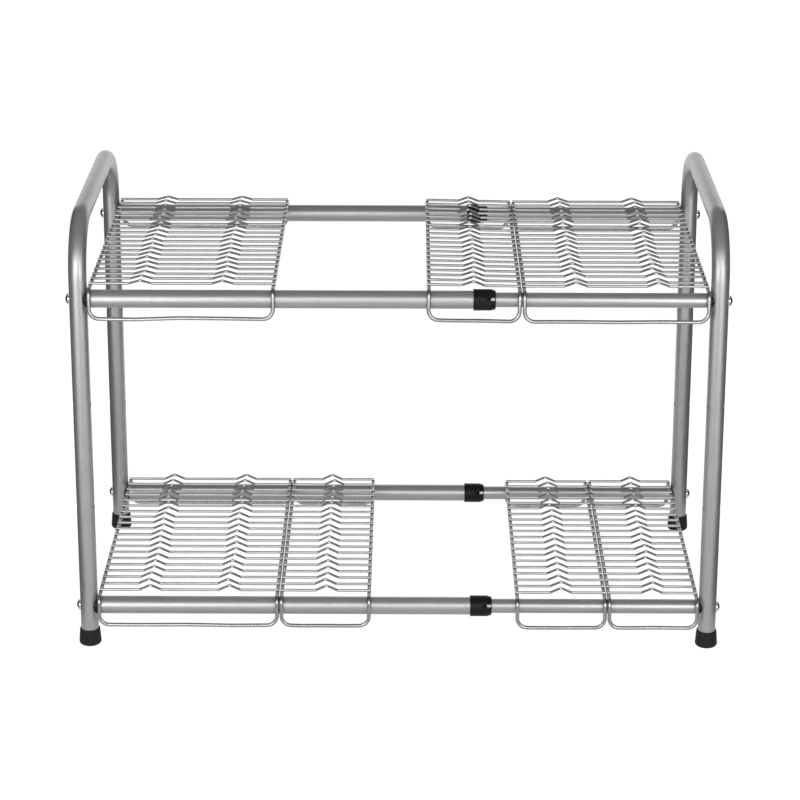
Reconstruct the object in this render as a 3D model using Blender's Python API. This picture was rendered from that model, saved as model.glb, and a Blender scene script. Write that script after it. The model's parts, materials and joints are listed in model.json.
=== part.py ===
"""Two-tier storage rack that stretches in width, with lift-off wire shelf panels.

Each side frame is one bent tube: two legs and the arch between them. Four bars join the frames,
two to a tier. A bar is a wide tube from the left frame and a narrow tube from the right frame
that slides in it through a sleeve. The welded wire panels hook over the front and rear bars.

The rack stands on Z = 0, centred on X = 0 and Y = 0, and its front looks along -Y.
All lengths are in metres and all angles in radians.
"""

import math

import bmesh
import bpy
from mathutils import Vector

# Layout
LEG_DEPTH = 0.280
LOWER_BAR_HEIGHT = 0.038
HOLE_PITCH = 0.097
HOLES_PER_LEG = 4
ARCH_RISE = 0.065

# Gap between two pieces that touch on the real rack
SEAT_GAP = 0.0003
# How far a cutting shape runs past what it cuts
OVERRUN = 0.002
# Corners nearer than this are one corner
MERGE_DISTANCE = 0.000001

# Side frames
TUBE_DIAMETER = 0.016
TUBE_WALL = 0.001
ARCH_BEND_RADIUS = 0.048
ARCH_BEND_STEPS = 5
HOLE_DIAMETER = 0.0046

# Bars. The overlap is how far the narrow tube reaches into the wide one.
INNER_TUBE_DIAMETER = 0.013
INNER_TUBE_WALL = 0.0008
TUBE_OVERLAP = 0.1358

# Sleeves, each on the open end of a wide tube
SLEEVE_DIAMETER = 0.0193
SLEEVE_LENGTH = 0.0194
SLEEVE_SOCKET_DEPTH = 0.012
SLEEVE_NOSE_DIAMETER = 0.0163
SLEEVE_NOSE_LENGTH = 0.0036
SLEEVE_SLOT_WIDTH = 0.0034
SLEEVE_SLOT_DEPTH = 0.0042

# End plugs, each between a leg and the end of a bar
PLUG_FLANGE_THICKNESS = 0.0008
PLUG_LIP_REACH = 0.0033
PLUG_INSERT_LENGTH = 0.016

# Screws, each through a leg into an end plug
SCREW_DIAMETER = 0.004
SCREW_LENGTH = 0.031
SCREW_HEAD_DIAMETER = 0.0097
SCREW_HEAD_HEIGHT = 0.0029
SCREW_HEAD_STEPS = 3

# Feet
FOOT_HEIGHT = 0.0155
FOOT_FLOOR = 0.003
FOOT_TOP_DIAMETER = 0.0192
FOOT_BOTTOM_DIAMETER = 0.0202
FOOT_EDGE = 0.0014

# Shelf panels
FRAME_WIRE_DIAMETER = 0.0035
CROSS_WIRE_DIAMETER = 0.0022
WIDE_PANEL_WIDTH = 0.1641
NARROW_PANEL_WIDTH = 0.0827
PANEL_GAP = 0.0006
PANEL_TO_LEG = 0.0004
PANEL_TO_SLEEVE = 0.0899
SLEEVE_TO_PANEL = 0.0215
LOOP_DROP = 0.0238
LOOP_CLEARANCE = 0.0005
LOOP_CORNER_RADIUS = 0.009
BAR_BEND_RADIUS = 0.005
WIRE_BEND_STEPS = 2
CROSS_WIRE_ROWS = 20
FIRST_ROW_OFFSET = 0.005
LAST_ROW_OFFSET = 0.004
WELD_DEPTH = 0.00012
WELD_END_REACH = 0.0007
HUMP_SPACING = 0.072
HUMP_HEIGHT = 0.0036
HUMP_HALF_WIDTH = 0.0098

# Sides of the polygons that stand for circles
ROUND_SIDES = 12
BORE_SIDES = 8
HOLE_SIDES = 6
SCREW_SIDES = 8
FRAME_WIRE_SIDES = 6
CROSS_WIRE_SIDES = 3

# Faces that meet at more than this keep a sharp edge
SHARP_ANGLE = math.radians(40)

# Places worked out from the sizes above
TUBE_RADIUS = TUBE_DIAMETER / 2
INNER_TUBE_RADIUS = INNER_TUBE_DIAMETER / 2
UPPER_BAR_HEIGHT = LOWER_BAR_HEIGHT + HOLE_PITCH * (HOLES_PER_LEG - 1)
ARCH_HEIGHT = UPPER_BAR_HEIGHT + ARCH_RISE
FRONT_LEG_Y = -LEG_DEPTH / 2
REAR_LEG_Y = LEG_DEPTH / 2
SADDLE_RADIUS = TUBE_RADIUS + SEAT_GAP
PLUG_FLANGE_END = SADDLE_RADIUS + PLUG_FLANGE_THICKNESS
BAR_START = PLUG_FLANGE_END + SEAT_GAP

# The room that the panels pushed left and those pushed right take, on the tier that needs more
LEFT_PANELS_WIDTH = WIDE_PANEL_WIDTH + PANEL_GAP + NARROW_PANEL_WIDTH
RIGHT_PANELS_WIDTH = max(WIDE_PANEL_WIDTH, NARROW_PANEL_WIDTH + PANEL_GAP + NARROW_PANEL_WIDTH)

# Distances from the left legs' axis
LEFT_PANELS_START = TUBE_RADIUS + PANEL_TO_LEG
SLEEVE_START = LEFT_PANELS_START + LEFT_PANELS_WIDTH + PANEL_TO_SLEEVE
OUTER_TUBE_END = SLEEVE_START + SLEEVE_SOCKET_DEPTH - SEAT_GAP
RIGHT_PANELS_END = SLEEVE_START + SLEEVE_LENGTH + SLEEVE_TO_PANEL + RIGHT_PANELS_WIDTH
LEG_SPAN = RIGHT_PANELS_END + PANEL_TO_LEG + TUBE_RADIUS
LEFT_LEG_X = -LEG_SPAN / 2
RIGHT_LEG_X = LEG_SPAN / 2
OUTER_TUBE_LENGTH = OUTER_TUBE_END - BAR_START
INNER_TUBE_LENGTH = LEG_SPAN - BAR_START - OUTER_TUBE_END + TUBE_OVERLAP

TIER_HEIGHTS = {"lower": LOWER_BAR_HEIGHT, "upper": UPPER_BAR_HEIGHT}
ROW_PLACES = {"front": FRONT_LEG_Y, "rear": REAR_LEG_Y}
LEG_PLACES = {"left": LEFT_LEG_X, "right": RIGHT_LEG_X}

AXIS_X = Vector((1, 0, 0))
AXIS_Z = Vector((0, 0, 1))


def clear_scene():
    for old in list(bpy.data.objects):
        bpy.data.objects.remove(old, do_unlink=True)


def make_material(name, colour, roughness, metallic):
    material = bpy.data.materials.new(name)
    material.use_nodes = True
    shader = material.node_tree.nodes["Principled BSDF"]
    shader.inputs["Base Color"].default_value = (*colour, 1.0)
    shader.inputs["Roughness"].default_value = roughness
    shader.inputs["Metallic"].default_value = metallic
    material.diffuse_color = (*colour, 1.0)
    return material


def make_empty(name, location):
    empty = bpy.data.objects.new(name, None)
    empty.location = location
    bpy.context.scene.collection.objects.link(empty)
    return empty


def finish_mesh(name, shape):
    """Turns a finished bmesh into a mesh whose faces point out and whose round sides look round."""
    bmesh.ops.recalc_face_normals(shape, faces=shape.faces)
    mesh = bpy.data.meshes.new(name)
    shape.to_mesh(mesh)
    shape.free()
    mesh.shade_smooth()
    mesh.set_sharp_from_angle(angle=SHARP_ANGLE)
    return mesh


def place(name, mesh, material, location, parent=None, turn=(0.0, 0.0, 0.0)):
    """Adds an object at a world place. The parents used here are neither turned nor scaled."""
    item = bpy.data.objects.new(name, mesh)
    if not mesh.materials:
        mesh.materials.append(material)
    origin = parent.location if parent else Vector((0, 0, 0))
    item.location = Vector(location) - origin
    item.rotation_euler = turn
    item.parent = parent
    bpy.context.scene.collection.objects.link(item)
    return item


def add_boolean(item, other, operation):
    """Cuts or joins a helper shape. The helper takes the item's place and stays out of renders."""
    other.hide_render = True
    other.display_type = "WIRE"
    modifier = item.modifiers.new(operation.title(), "BOOLEAN")
    modifier.operation = operation
    modifier.solver = "EXACT"
    modifier.object = other


def bridge(shape, first, second):
    """Joins two rings with as many corners each."""
    for index in range(len(first)):
        after = (index + 1) % len(first)
        shape.faces.new((first[index], first[after], second[after], second[index]))


def bridge_unlike(shape, first, second):
    """Joins two rings that start on the same side, with a triangle for each edge of either."""
    passed, beside = 0, 0
    while passed < len(first) or beside < len(second):
        corner = first[passed % len(first)]
        facing = second[beside % len(second)]
        if (passed + 1) / len(first) <= (beside + 1) / len(second):
            passed += 1
            shape.faces.new((corner, first[passed % len(first)], facing))
        else:
            beside += 1
            shape.faces.new((corner, second[beside % len(second)], facing))


def turned_mesh(name, profile, axis, sides, hollow=False):
    """Turns (along, radius) points round the X or Z axis. A hollow profile meets its own start."""
    shape = bmesh.new()
    rings = []
    for along, radius in profile:
        corners = []
        for index in range(sides):
            angle = math.tau * index / sides
            across, up = radius * math.cos(angle), radius * math.sin(angle)
            point = (along, across, up) if axis == "X" else (across, up, along)
            corners.append(shape.verts.new(point))
        rings.append(corners)
    for first, second in zip(rings, rings[1:]):
        bridge(shape, first, second)
    if hollow:
        bridge(shape, rings[-1], rings[0])
    else:
        shape.faces.new(rings[0])
        shape.faces.new(rings[-1])
    bmesh.ops.remove_doubles(shape, verts=shape.verts, dist=MERGE_DISTANCE)
    return finish_mesh(name, shape)


def clear_of(radius, sides):
    """Corner radius of a polygon whose flat sides clear a circle of the given radius."""
    return radius / math.cos(math.pi / sides)


def rounded_path(corners, radii, steps):
    """Replaces each corner by an arc. A radius of 0 keeps the corner, as at a path's two ends."""
    path = []
    count = len(corners)
    for index, (corner, radius) in enumerate(zip(corners, radii)):
        if radius == 0:
            path.append(corner)
            continue
        before = (corners[index - 1] - corner).normalized()
        after = (corners[(index + 1) % count] - corner).normalized()
        half = before.angle(after) / 2
        centre = corner + (before + after).normalized() * radius / math.sin(half)
        start = corner + before * radius / math.tan(half) - centre
        turn = start.rotation_difference(corner + after * radius / math.tan(half) - centre)
        for step in range(steps + 1):
            part = turn.copy()
            part.angle = turn.angle * step / steps
            path.append(centre + part @ start)
    return path


def sweep(shape, path, radius, sides, normal, closed):
    """Carries a regular polygon along a path, mitred at each point, and returns its rings."""
    count = len(path)
    rings = []
    heading = None
    for index, point in enumerate(path):
        last = index == count - 1
        arriving = (point - path[index - 1]).normalized() if closed or index else None
        leaving = (path[(index + 1) % count] - point).normalized() if closed or not last else arriving
        arriving = arriving or leaving
        if heading is not None:
            normal = heading.rotation_difference(leaving) @ normal
        heading = leaving
        mitre = (arriving + leaving).normalized()
        side = leaving.cross(normal)
        corners = []
        for corner in range(sides):
            angle = math.tau * corner / sides
            offset = (normal * math.cos(angle) + side * math.sin(angle)) * radius
            offset -= leaving * offset.dot(mitre) / leaving.dot(mitre)
            corners.append(shape.verts.new(point + offset))
        rings.append(corners)
    for first, second in zip(rings, rings[1:]):
        bridge(shape, first, second)
    if closed:
        bridge(shape, rings[-1], rings[0])
    return rings


def drill_mesh(name, points, radius, length, sides):
    """Round cutters along X, one at each (y, z) point, centred on X = 0."""
    shape = bmesh.new()
    for across, up in points:
        ends = [Vector((-length / 2, across, up)), Vector((length / 2, across, up))]
        rings = sweep(shape, ends, radius, sides, AXIS_Z, closed=False)
        for ring in rings:
            shape.faces.new(ring)
    return finish_mesh(name, shape)


def side_frame_mesh():
    """One bent tube: the front leg, the arch and the rear leg, open at both lower ends."""
    foot_inside = FOOT_FLOOR + SEAT_GAP
    corners = [
        Vector((0, FRONT_LEG_Y, foot_inside)),
        Vector((0, FRONT_LEG_Y, ARCH_HEIGHT)),
        Vector((0, REAR_LEG_Y, ARCH_HEIGHT)),
        Vector((0, REAR_LEG_Y, foot_inside)),
    ]
    radii = [0, ARCH_BEND_RADIUS, ARCH_BEND_RADIUS, 0]
    path = rounded_path(corners, radii, ARCH_BEND_STEPS)
    shape = bmesh.new()
    outside = sweep(shape, path, TUBE_RADIUS, ROUND_SIDES, AXIS_X, closed=False)
    inside = sweep(shape, path, TUBE_RADIUS - TUBE_WALL, BORE_SIDES, AXIS_X, closed=False)
    bridge_unlike(shape, outside[0], inside[0])
    bridge_unlike(shape, outside[-1], inside[-1])
    return finish_mesh("side_frame", shape)


def leg_hole_points():
    heights = [LOWER_BAR_HEIGHT + HOLE_PITCH * step for step in range(HOLES_PER_LEG)]
    return [(across, up) for across in (FRONT_LEG_Y, REAR_LEG_Y) for up in heights]


def tube_mesh(name, radius, wall, length):
    profile = [(0, radius), (length, radius), (length, radius - wall), (0, radius - wall)]
    return turned_mesh(name, profile, "X", ROUND_SIDES, hollow=True)


def sleeve_mesh():
    """A bush that grips the wide tube's end and guides the narrow tube through its nose."""
    socket = TUBE_RADIUS + SEAT_GAP
    guide = INNER_TUBE_RADIUS + SEAT_GAP
    body = SLEEVE_DIAMETER / 2
    shoulder = SLEEVE_LENGTH - SLEEVE_NOSE_LENGTH
    profile = [
        (0, socket),
        (0, body),
        (shoulder, body),
        (SLEEVE_LENGTH, SLEEVE_NOSE_DIAMETER / 2),
        (SLEEVE_LENGTH, guide),
        (SLEEVE_SOCKET_DEPTH, guide),
        (SLEEVE_SOCKET_DEPTH, socket),
    ]
    return turned_mesh("sleeve", profile, "X", ROUND_SIDES, hollow=True)


def box_mesh(name, low, high):
    shape = bmesh.new()
    bmesh.ops.create_cube(shape, size=1)
    for vertex in shape.verts:
        for axis in range(3):
            vertex.co[axis] = high[axis] if vertex.co[axis] > 0 else low[axis]
    return finish_mesh(name, shape)


def sleeve_slot_mesh():
    """The slot in the front of the sleeve's nose, open at its end."""
    low = (SLEEVE_LENGTH - SLEEVE_SLOT_DEPTH, -SLEEVE_DIAMETER / 2 - OVERRUN, -SLEEVE_SLOT_WIDTH / 2)
    high = (SLEEVE_LENGTH + OVERRUN, -INNER_TUBE_RADIUS + SLEEVE_SLOT_WIDTH / 2, SLEEVE_SLOT_WIDTH / 2)
    return box_mesh("sleeve_slot", low, high)


def plug_mesh(name, bar_radius, bar_wall):
    """An end plug before its saddle is cut: a flange as wide as the bar and an insert in its end."""
    pilot = HOLE_DIAMETER / 2
    insert = bar_radius - bar_wall - SEAT_GAP
    insert_end = PLUG_FLANGE_END + PLUG_INSERT_LENGTH
    lip_start = SADDLE_RADIUS - PLUG_LIP_REACH
    profile = [
        (lip_start, pilot),
        (lip_start, bar_radius),
        (PLUG_FLANGE_END, bar_radius),
        (PLUG_FLANGE_END, insert),
        (insert_end, insert),
        (insert_end, pilot),
    ]
    return turned_mesh(name, profile, "X", ROUND_SIDES, hollow=True)


def saddle_mesh():
    reach = TUBE_RADIUS + OVERRUN
    shape = bmesh.new()
    ends = [Vector((0, 0, -reach)), Vector((0, 0, reach))]
    for ring in sweep(shape, ends, SADDLE_RADIUS, ROUND_SIDES, AXIS_X, closed=False):
        shape.faces.new(ring)
    return finish_mesh("saddle", shape)


def screw_mesh():
    """A domed screw. Its head sits outside the leg, whose axis is at X = 0."""
    under = -TUBE_RADIUS - SEAT_GAP
    head = SCREW_HEAD_DIAMETER / 2
    dome = (head**2 + SCREW_HEAD_HEIGHT**2) / (2 * SCREW_HEAD_HEIGHT)
    widest = math.asin(head / dome)
    profile = [(under - SCREW_HEAD_HEIGHT, 0)]
    for step in range(1, SCREW_HEAD_STEPS + 1):
        angle = widest * step / SCREW_HEAD_STEPS
        profile.append((under - SCREW_HEAD_HEIGHT + dome * (1 - math.cos(angle)), dome * math.sin(angle)))
    profile += [(under, SCREW_DIAMETER / 2), (under + SCREW_LENGTH, SCREW_DIAMETER / 2)]
    return turned_mesh("screw", profile, "X", SCREW_SIDES)


def foot_mesh():
    """A cap over the leg's end: a flat sole with a bevelled edge, and a wall that narrows upward."""
    bottom = FOOT_BOTTOM_DIAMETER / 2
    bore = TUBE_RADIUS + SEAT_GAP
    profile = [
        (0, bottom - FOOT_EDGE),
        (FOOT_EDGE, bottom),
        (FOOT_HEIGHT, FOOT_TOP_DIAMETER / 2),
        (FOOT_HEIGHT, bore),
        (FOOT_FLOOR, bore),
    ]
    return turned_mesh("foot", profile, "Z", ROUND_SIDES)


def frame_wire_flat():
    """Distance from the frame wire's axis to its flat sides."""
    return FRAME_WIRE_DIAMETER / 2 * math.cos(math.pi / FRAME_WIRE_SIDES)


def loop_reach():
    """Distance from the panel's middle to the axis of its front or rear loop."""
    return REAR_LEG_Y + TUBE_RADIUS + LOOP_CLEARANCE + frame_wire_flat()


def panel_frame_mesh(name, width):
    """The closed frame wire, with a loop turned down over the front bar and one over the rear."""
    reach = loop_reach()
    top = frame_wire_flat()
    bottom = -LOOP_DROP
    front = [Vector((0, -reach, bottom)), Vector((width, -reach, bottom)), Vector((width, -reach, top))]
    rear = [Vector((width, reach, top)), Vector((width, reach, bottom)), Vector((0, reach, bottom))]
    corners = front + rear + [Vector((0, reach, top)), Vector((0, -reach, top))]
    radii = [LOOP_CORNER_RADIUS, LOOP_CORNER_RADIUS, BAR_BEND_RADIUS, BAR_BEND_RADIUS] * 2
    path = rounded_path(corners, radii, WIRE_BEND_STEPS)
    shape = bmesh.new()
    # The corner of the polygon is turned from the sweep's normal, so that flats face up and down.
    half_side = math.pi / FRAME_WIRE_SIDES
    start = (path[1] - path[0]).normalized()
    normal = Vector((0, math.cos(half_side), 0)) + start.cross(Vector((0, 1, 0))) * math.sin(half_side)
    sweep(shape, path, FRAME_WIRE_DIAMETER / 2, FRAME_WIRE_SIDES, normal, closed=True)
    return finish_mesh(name, shape)


def cross_wires_mesh(name, width, humps):
    """The cross wires, which lie on the frame wire's sides and rise in a hump at each place."""
    radius = CROSS_WIRE_DIAMETER / 2
    underside = radius * math.cos(math.pi / CROSS_WIRE_SIDES)
    height = 2 * frame_wire_flat() - WELD_DEPTH + underside
    first = FRONT_LEG_Y + FIRST_ROW_OFFSET
    pitch = (REAR_LEG_Y + LAST_ROW_OFFSET - first) / (CROSS_WIRE_ROWS - 1)
    shape = bmesh.new()
    for row in range(CROSS_WIRE_ROWS):
        across = first + pitch * row
        stations = [(-WELD_END_REACH, height)]
        for hump in humps:
            stations.append((hump - HUMP_HALF_WIDTH, height))
            stations.append((hump, height + HUMP_HEIGHT))
            stations.append((hump + HUMP_HALF_WIDTH, height))
        stations.append((width + WELD_END_REACH, height))
        path = [Vector((along, across, up)) for along, up in stations]
        rings = sweep(shape, path, radius, CROSS_WIRE_SIDES, AXIS_Z, closed=False)
        shape.faces.new(rings[0])
        shape.faces.new(rings[-1])
    return finish_mesh(name, shape)


def hump_places(width, count):
    first = (width - HUMP_SPACING * (count - 1)) / 2
    return [first + HUMP_SPACING * index for index in range(count)]


def make_panel(name, width, humps, left_edge, tier, seats, material, parent):
    """Hooks a panel over a tier's bars. seats are the bars' radii under its left and right sides."""
    width -= FRAME_WIRE_DIAMETER
    lean = math.asin((seats[0] - seats[1]) / width)
    height = TIER_HEIGHTS[tier] + seats[0] + SEAT_GAP
    location = (left_edge + FRAME_WIRE_DIAMETER / 2, 0, height)
    frame = place(name, panel_frame_mesh(name, width), material, location, parent, (0, lean, 0))
    wires = cross_wires_mesh(f"{name}_wires", width, hump_places(width, humps))
    helper = place(f"{name}_wires", wires, material, location, parent, (0, lean, 0))
    add_boolean(frame, helper, "UNION")
    return frame


def make_side_frames(material, halves):
    mesh = side_frame_mesh()
    hole_radius = clear_of(HOLE_DIAMETER / 2, HOLE_SIDES)
    drill = drill_mesh("leg_holes", leg_hole_points(), hole_radius, TUBE_DIAMETER + OVERRUN, HOLE_SIDES)
    for side, leg_x in LEG_PLACES.items():
        frame = place(f"{side}_side_frame", mesh, material, (leg_x, 0, 0), halves[side])
        cutter = place(f"{side}_leg_holes", drill, material, (leg_x, 0, 0), halves[side])
        add_boolean(frame, cutter, "DIFFERENCE")


def make_feet(material, halves):
    mesh = foot_mesh()
    for side, leg_x in LEG_PLACES.items():
        for row, leg_y in ROW_PLACES.items():
            place(f"{side}_{row}_foot", mesh, material, (leg_x, leg_y, 0), halves[side])


def make_bars(materials, halves):
    """The eight tubes, with a sleeve on each wide one."""
    outer = tube_mesh("outer_tube", TUBE_RADIUS, TUBE_WALL, OUTER_TUBE_LENGTH)
    inner = tube_mesh("inner_tube", INNER_TUBE_RADIUS, INNER_TUBE_WALL, INNER_TUBE_LENGTH)
    sleeve = sleeve_mesh()
    slot = sleeve_slot_mesh()
    paint, plastic = materials["paint"], materials["plastic"]
    left, right = halves["left"], halves["right"]
    outer_start = LEFT_LEG_X + BAR_START
    inner_start = RIGHT_LEG_X - BAR_START - INNER_TUBE_LENGTH
    sleeve_start = LEFT_LEG_X + SLEEVE_START
    for tier, height in TIER_HEIGHTS.items():
        for row, across in ROW_PLACES.items():
            bar = f"{tier}_{row}"
            place(f"{bar}_outer_tube", outer, paint, (outer_start, across, height), left)
            place(f"{bar}_inner_tube", inner, paint, (inner_start, across, height), right)
            seat = (sleeve_start, across, height)
            bush = place(f"{bar}_sleeve", sleeve, plastic, seat, left)
            cutter = place(f"{bar}_sleeve_slot", slot, plastic, seat, left)
            add_boolean(bush, cutter, "DIFFERENCE")


def make_leg_joint(joint, spot, plug_shape, shapes, materials, half, turn):
    """The end plug and the screw where one bar meets one leg."""
    plug = place(f"{joint}_end_plug", plug_shape, materials["plastic"], spot, half, turn)
    cutter = place(f"{joint}_saddle", shapes["saddle"], materials["plastic"], spot, half, turn)
    add_boolean(plug, cutter, "DIFFERENCE")
    place(f"{joint}_screw", shapes["screw"], materials["chrome"], spot, half, turn)


def make_leg_joints(materials, halves):
    """Those on the right are turned round, and their plugs fit the narrow tubes."""
    shapes = {"screw": screw_mesh(), "saddle": saddle_mesh()}
    plugs = {
        "left": plug_mesh("outer_end_plug", TUBE_RADIUS, TUBE_WALL),
        "right": plug_mesh("inner_end_plug", INNER_TUBE_RADIUS, INNER_TUBE_WALL),
    }
    turns = {"left": (0, 0, 0), "right": (0, 0, math.pi)}
    for side, leg_x in LEG_PLACES.items():
        for tier, height in TIER_HEIGHTS.items():
            for row, leg_y in ROW_PLACES.items():
                joint = f"{side}_{tier}_{row}"
                spot = (leg_x, leg_y, height)
                make_leg_joint(joint, spot, plugs[side], shapes, materials, halves[side], turns[side])


def make_panels(material, halves):
    """Seven panels: four pushed to the left frame or to each other, three to the right frame."""
    left_end = LEFT_LEG_X + LEFT_PANELS_START
    right_end = LEFT_LEG_X + RIGHT_PANELS_END
    wide, narrow = WIDE_PANEL_WIDTH, NARROW_PANEL_WIDTH
    on_outer = (TUBE_RADIUS, TUBE_RADIUS)
    on_inner = (INNER_TUBE_RADIUS, INNER_TUBE_RADIUS)
    on_both = (TUBE_RADIUS, INNER_TUBE_RADIUS)
    left, right = halves["left"], halves["right"]
    upper_right = right_end - wide
    lower_right = right_end - narrow
    upper_middle = upper_right - PANEL_GAP - narrow
    lower_middle = lower_right - PANEL_GAP - narrow
    lower_second = left_end + wide + PANEL_GAP
    rows = [
        ("upper_left_wide_panel", wide, 2, left_end, "upper", on_outer, left),
        ("upper_middle_narrow_panel", narrow, 1, upper_middle, "upper", on_both, left),
        ("upper_right_wide_panel", wide, 2, upper_right, "upper", on_inner, right),
        ("lower_left_wide_panel", wide, 2, left_end, "lower", on_outer, left),
        ("lower_left_narrow_panel", narrow, 1, lower_second, "lower", on_outer, left),
        ("lower_middle_narrow_panel", narrow, 1, lower_middle, "lower", on_inner, right),
        ("lower_right_narrow_panel", narrow, 1, lower_right, "lower", on_inner, right),
    ]
    for name, width, humps, left_edge, tier, seats, parent in rows:
        make_panel(name, width, humps, left_edge, tier, seats, material, parent)


def build():
    clear_scene()
    materials = {
        "paint": make_material("silver_paint", (0.50, 0.50, 0.52), 0.34, 0.85),
        "wire": make_material("bright_wire", (0.66, 0.66, 0.68), 0.26, 1.0),
        "chrome": make_material("chrome", (0.80, 0.80, 0.82), 0.12, 1.0),
        "plastic": make_material("black_plastic", (0.018, 0.018, 0.019), 0.42, 0.0),
        "rubber": make_material("black_rubber", (0.022, 0.022, 0.022), 0.70, 0.0),
    }
    halves = {
        "left": make_empty("left_half", (LEFT_LEG_X, 0, LOWER_BAR_HEIGHT)),
        "right": make_empty("right_half", (RIGHT_LEG_X, 0, LOWER_BAR_HEIGHT)),
    }
    make_side_frames(materials["paint"], halves)
    make_feet(materials["rubber"], halves)
    make_bars(materials, halves)
    make_leg_joints(materials, halves)
    make_panels(materials["wire"], halves)


build()
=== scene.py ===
"""The finish of a two-tier storage rack that stretches in width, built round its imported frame.

Every piece stands in place of one solid of the frame and takes its size and place from that
solid's box. Angles are in radians and lengths in metres, apart from the two with MM in their name.
"""

import json
import math
import random

import bmesh
import bpy
from mathutils import Matrix, Vector


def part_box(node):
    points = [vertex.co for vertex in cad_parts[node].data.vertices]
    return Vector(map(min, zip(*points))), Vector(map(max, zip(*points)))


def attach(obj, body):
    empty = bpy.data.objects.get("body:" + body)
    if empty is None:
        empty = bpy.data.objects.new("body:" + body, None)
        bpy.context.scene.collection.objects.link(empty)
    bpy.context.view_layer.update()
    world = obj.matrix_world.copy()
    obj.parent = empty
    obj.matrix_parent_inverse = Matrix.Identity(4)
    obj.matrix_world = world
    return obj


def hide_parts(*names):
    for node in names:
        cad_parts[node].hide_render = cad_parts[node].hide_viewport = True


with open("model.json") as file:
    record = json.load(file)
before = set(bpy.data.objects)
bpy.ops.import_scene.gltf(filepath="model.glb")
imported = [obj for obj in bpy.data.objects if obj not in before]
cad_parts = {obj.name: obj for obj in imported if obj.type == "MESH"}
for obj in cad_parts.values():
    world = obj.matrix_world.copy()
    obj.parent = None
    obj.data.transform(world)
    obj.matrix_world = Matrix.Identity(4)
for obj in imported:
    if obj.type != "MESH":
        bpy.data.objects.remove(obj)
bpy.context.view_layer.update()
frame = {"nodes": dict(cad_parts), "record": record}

# Side frames and bars
ARCH_BEND_RADIUS = 0.048
TUBE_WALL = 0.001
INNER_TUBE_WALL = 0.0008
TUBE_END_ROUNDING = 0.0003
HOLE_DIAMETER = 0.0046
HOLE_PITCH = 0.097
HOLES_PER_LEG = 4
HOLE_RIM_RADIUS = 0.0031
HOLE_RIM_DEPTH = 0.0015
HOLE_WALL_SLOT = 1
# Near a hole, a face whose normal has less than this along X is one of the hole's walls
HOLE_WALL_FACING = 0.7

# Panels
FRAME_WIRE_RADIUS = 0.00175
CROSS_WIRE_RADIUS = 0.00125
# The solids' wires are six-sided and lie on a flat side, this share of the radius below the axis
WIRE_FLAT = math.cos(math.pi / 6)
BAR_BEND_RADIUS = 0.005
LOOP_CORNER_RADIUS = 0.009
LOOP_DROP = 0.0238
LOOP_SAG = 0.0005
LOOP_RUN_POINTS = 3
LOOP_RUN_RADIUS = 0.03
LEVEL_LOOP = (0, 0, 0)
LOOP_LIFTS = {"upper_left_wide_panel": (-0.0008, 0.0009, 0.0008)}
CROSS_WIRE_ROWS = 20
FIRST_ROW_OFFSET = 0.005
LAST_ROW_OFFSET = 0.004
ROW_WANDER = 0.0004
WIRE_END_REACH = 0.0009
WELD_DEPTH = 0.0003
WELD_BEAD_SIZE = Vector((0.0015, 0.0021, 0.0008))
WELD_BEAD_SUBDIVISIONS = 2
# The cross wires of a panel narrower than this have one hump each, and the others two
NARROW_PANEL_LIMIT = 0.12
HUMP_SPACING = 0.072
HUMP_HALF_WIDTH = 0.0100
HUMP_BEND_RADIUS = 0.0022
HUMP_WANDER = 0.0014
PRESSED_THICKNESS = 0.78
CROSS_WIRE_SLOT = 1
# The dark wire material's slot: painted shade on the hump flanks and the weld beads
PAINTED_SHADE_SLOT = 2

# Each panel's hump height and the bend radius at the hump's top
HUMP_SHAPES = {
    "upper_left_wide_panel": (0.0028, 0.0042),
    "upper_middle_narrow_panel": (0.0037, 0.0034),
    "upper_right_wide_panel": (0.0037, 0.0042),
    "lower_left_wide_panel": (0.0046, 0.0026),
    "lower_left_narrow_panel": (0.0048, 0.0026),
    "lower_middle_narrow_panel": (0.0045, 0.0026),
    "lower_right_narrow_panel": (0.0044, 0.0026),
}
# The rows welded out of line: panel, row from the front, and how far towards the rear it is off
ROW_SLIPS = {("upper_right_wide_panel", 1): -0.0034, ("lower_right_narrow_panel", 10): 0.0010}

# Sleeves
SLEEVE_NOSE_LENGTH = 0.0036
SLEEVE_NOSE_RADIUS = 0.00815
SLEEVE_COLLAR_LENGTH = 0.0016
SLEEVE_GROOVE_DEPTH = 0.0002
SLEEVE_EDGE = 0.0004
SLEEVE_SLOT_WIDTH = 0.0032
SLEEVE_SLOT_DEPTH = 0.0043
SLEEVE_SLOT_RIM = 0.0006
SLEEVE_SLOT_TILT = math.radians(20)
SLEEVE_GUIDE_GAP = 0.00015
SLEEVE_SOCKET_DEPTH = 0.012

# End plugs and screws
PLUG_FLANGE_THICKNESS = 0.0008
PLUG_CRESCENT_RADIUS = 0.01135
PLUG_EDGE = 0.00025
PLUG_EDGE_SEGMENTS = 2
SCREW_HEAD_RADIUS = 0.00485
SCREW_HEAD_HEIGHT = 0.0029
SCREW_HEAD_RIM = 0.0004
RECESS_ARM_LENGTH = 0.0056
RECESS_ARM_WIDTH = 0.0011
RECESS_DEPTH = 0.0016
RECESS_TAPER = 0.4

# Feet
FOOT_EDGE_RADIUS = 0.003
FOOT_LIP_RADIUS = 0.0005
FOOT_FLOOR = 0.003

# Sides and steps of round shapes
TUBE_SIDES = 48
WIRE_SIDES = 16
CROSS_WIRE_SIDES = 12
HOLE_SIDES = 24
CRESCENT_SIDES = 96
ARCH_STEPS = 24
WIRE_BEND_STEPS = 8
HUMP_STEPS = 5
DOME_STEPS = 16
FOOT_EDGE_STEPS = 8

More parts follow.
